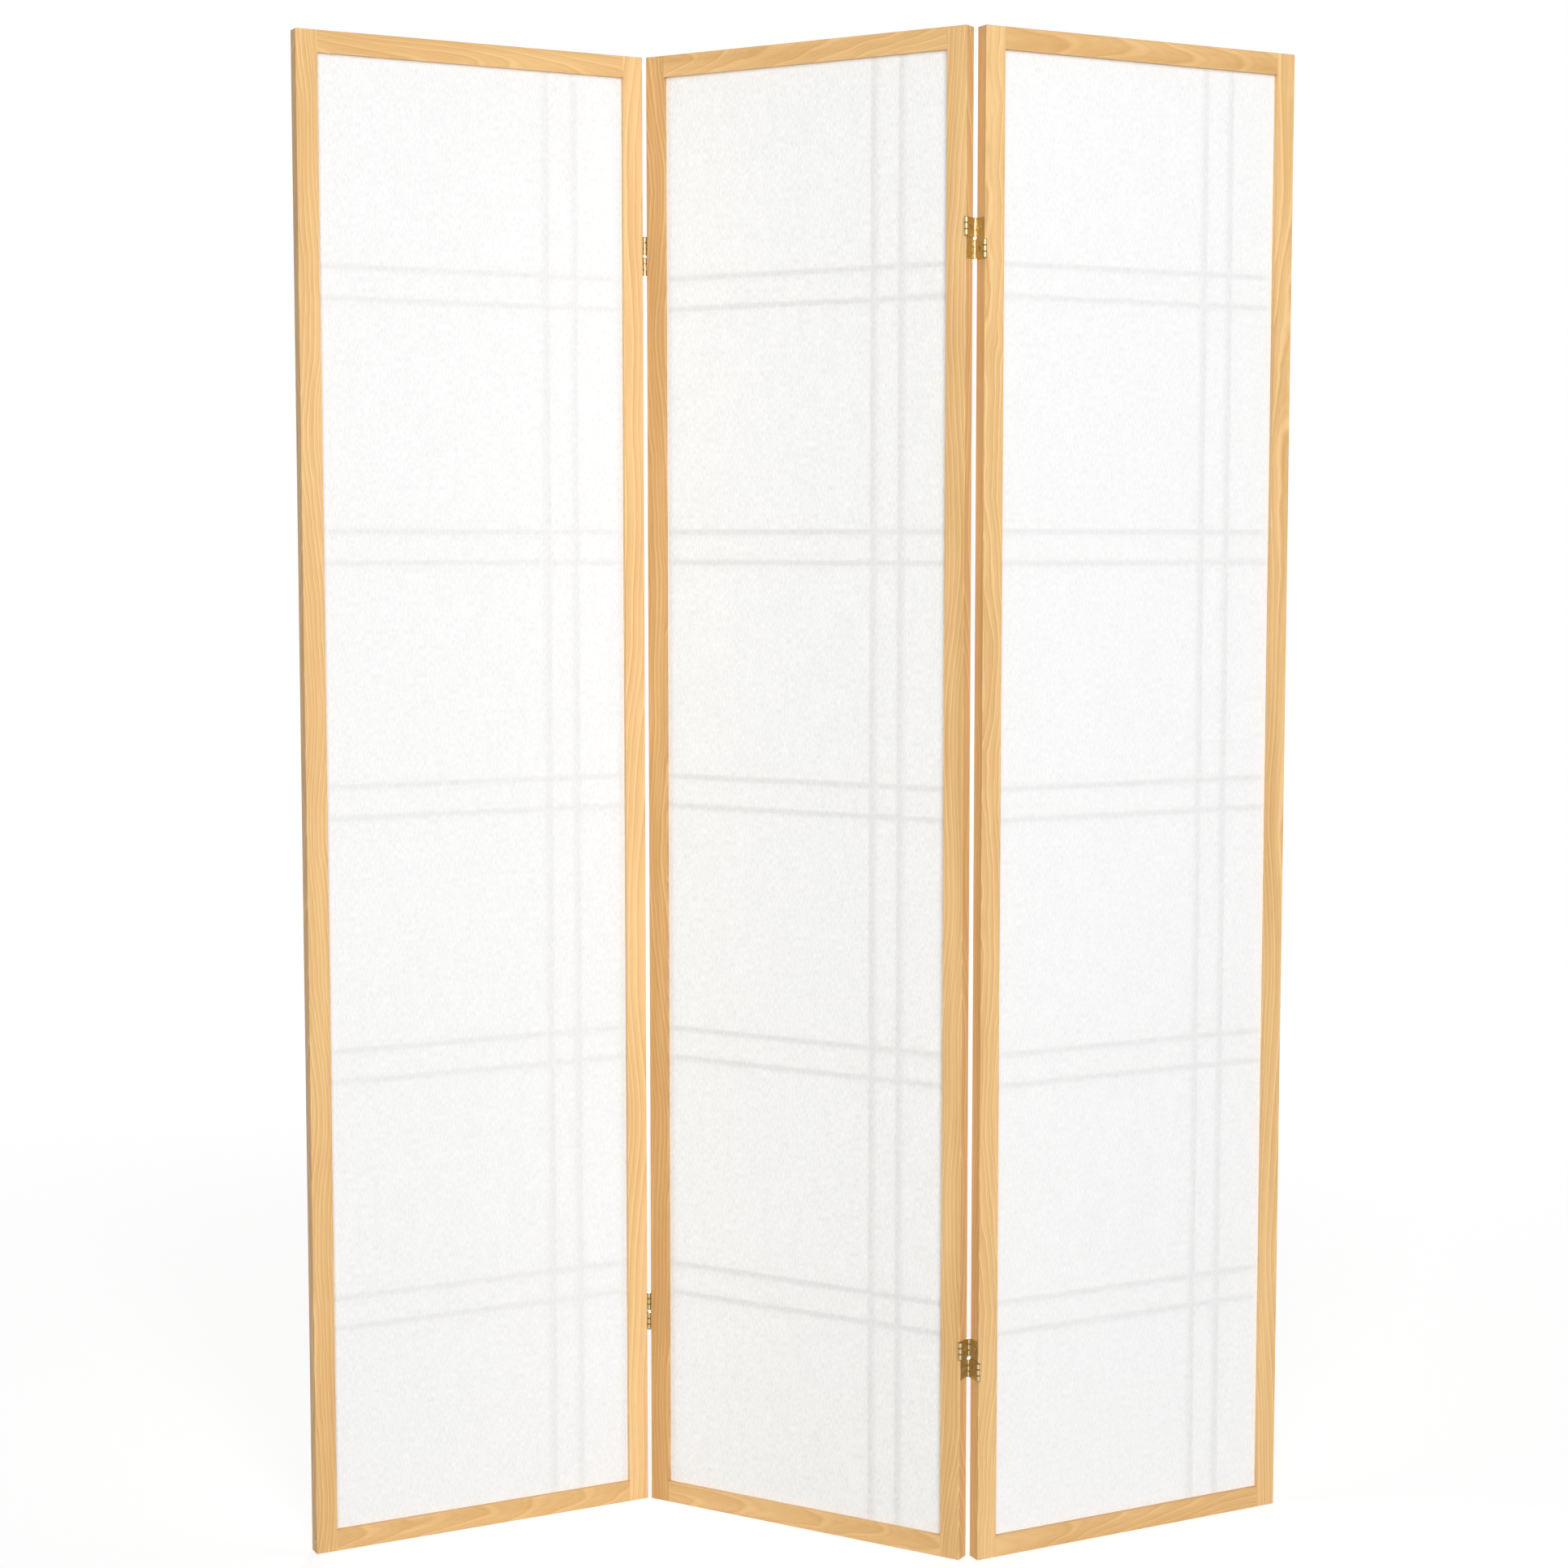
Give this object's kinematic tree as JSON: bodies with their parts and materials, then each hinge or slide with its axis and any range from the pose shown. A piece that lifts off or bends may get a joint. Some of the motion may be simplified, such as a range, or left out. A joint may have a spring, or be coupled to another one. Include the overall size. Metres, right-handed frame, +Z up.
{
  "type": "folding screen",
  "caption": "Free-standing shoji folding screen with wood-framed paper panels, an off-centre double-line lattice and two-way brass hinges.",
  "frame": {"origin": "on the floor under the middle of the centre panel", "axes": "+Z up; the screen runs along X; the plain paper side, its back, looks to -Y and the lattice side to +Y; the side panels stand at +29 degrees and the centre panel at -29 degrees to X"},
  "size_m": [1.2022, 0.2412, 1.829],
  "materials": {
    "frame_wood": "clear satin on pine",
    "lattice_wood": "clear satin on pine",
    "paper": "matt fibrous paper",
    "hinge_brass": "polished"
  },
  "bodies": {
    "centre_panel": {"centre_panel_bottom_rail": "frame_wood", "centre_panel_cross_bars_1": "lattice_wood", "centre_panel_cross_bars_2": "lattice_wood", "centre_panel_cross_bars_3": "lattice_wood", "centre_panel_cross_bars_4": "lattice_wood", "centre_panel_cross_bars_5": "lattice_wood", "centre_panel_left_stile": "frame_wood", "centre_panel_paper": "paper", "centre_panel_right_stile": "frame_wood", "centre_panel_top_rail": "frame_wood", "centre_panel_upright_bar_1": "lattice_wood", "centre_panel_upright_bar_2": "lattice_wood", "lower_left_hinge_right_plate": "hinge_brass", "lower_left_hinge_upper_leaf": "hinge_brass", "lower_right_hinge_left_plate": "hinge_brass", "lower_right_hinge_upper_leaf": "hinge_brass", "upper_left_hinge_right_plate": "hinge_brass", "upper_left_hinge_upper_leaf": "hinge_brass", "upper_right_hinge_left_plate": "hinge_brass", "upper_right_hinge_upper_leaf": "hinge_brass"},
    "left_panel": {"left_panel_bottom_rail": "frame_wood", "left_panel_cross_bars_1": "lattice_wood", "left_panel_cross_bars_2": "lattice_wood", "left_panel_cross_bars_3": "lattice_wood", "left_panel_cross_bars_4": "lattice_wood", "left_panel_cross_bars_5": "lattice_wood", "left_panel_left_stile": "frame_wood", "left_panel_paper": "paper", "left_panel_right_stile": "frame_wood", "left_panel_top_rail": "frame_wood", "left_panel_upright_bar_1": "lattice_wood", "left_panel_upright_bar_2": "lattice_wood", "lower_left_hinge_left_plate": "hinge_brass", "lower_left_hinge_lower_leaf": "hinge_brass", "upper_left_hinge_left_plate": "hinge_brass", "upper_left_hinge_lower_leaf": "hinge_brass"},
    "right_panel": {"lower_right_hinge_lower_leaf": "hinge_brass", "lower_right_hinge_right_plate": "hinge_brass", "right_panel_bottom_rail": "frame_wood", "right_panel_cross_bars_1": "lattice_wood", "right_panel_cross_bars_2": "lattice_wood", "right_panel_cross_bars_3": "lattice_wood", "right_panel_cross_bars_4": "lattice_wood", "right_panel_cross_bars_5": "lattice_wood", "right_panel_left_stile": "frame_wood", "right_panel_paper": "paper", "right_panel_right_stile": "frame_wood", "right_panel_top_rail": "frame_wood", "right_panel_upright_bar_1": "lattice_wood", "right_panel_upright_bar_2": "lattice_wood", "upper_right_hinge_lower_leaf": "hinge_brass", "upper_right_hinge_right_plate": "hinge_brass"}
  },
  "joints": [
    {"name": "left_fold", "type": "hinge", "parent": "centre_panel", "child": "left_panel", "pos_m": [-0.2012, 0.09855, 0.9145], "axis": [0, 0, 1], "range_deg": [-58, 122]},
    {"name": "right_fold", "type": "hinge", "parent": "centre_panel", "child": "right_panel", "pos_m": [0.2012, -0.09855, 0.9145], "axis": [0, 0, 1], "range_deg": [-58, 122]}
  ]
}
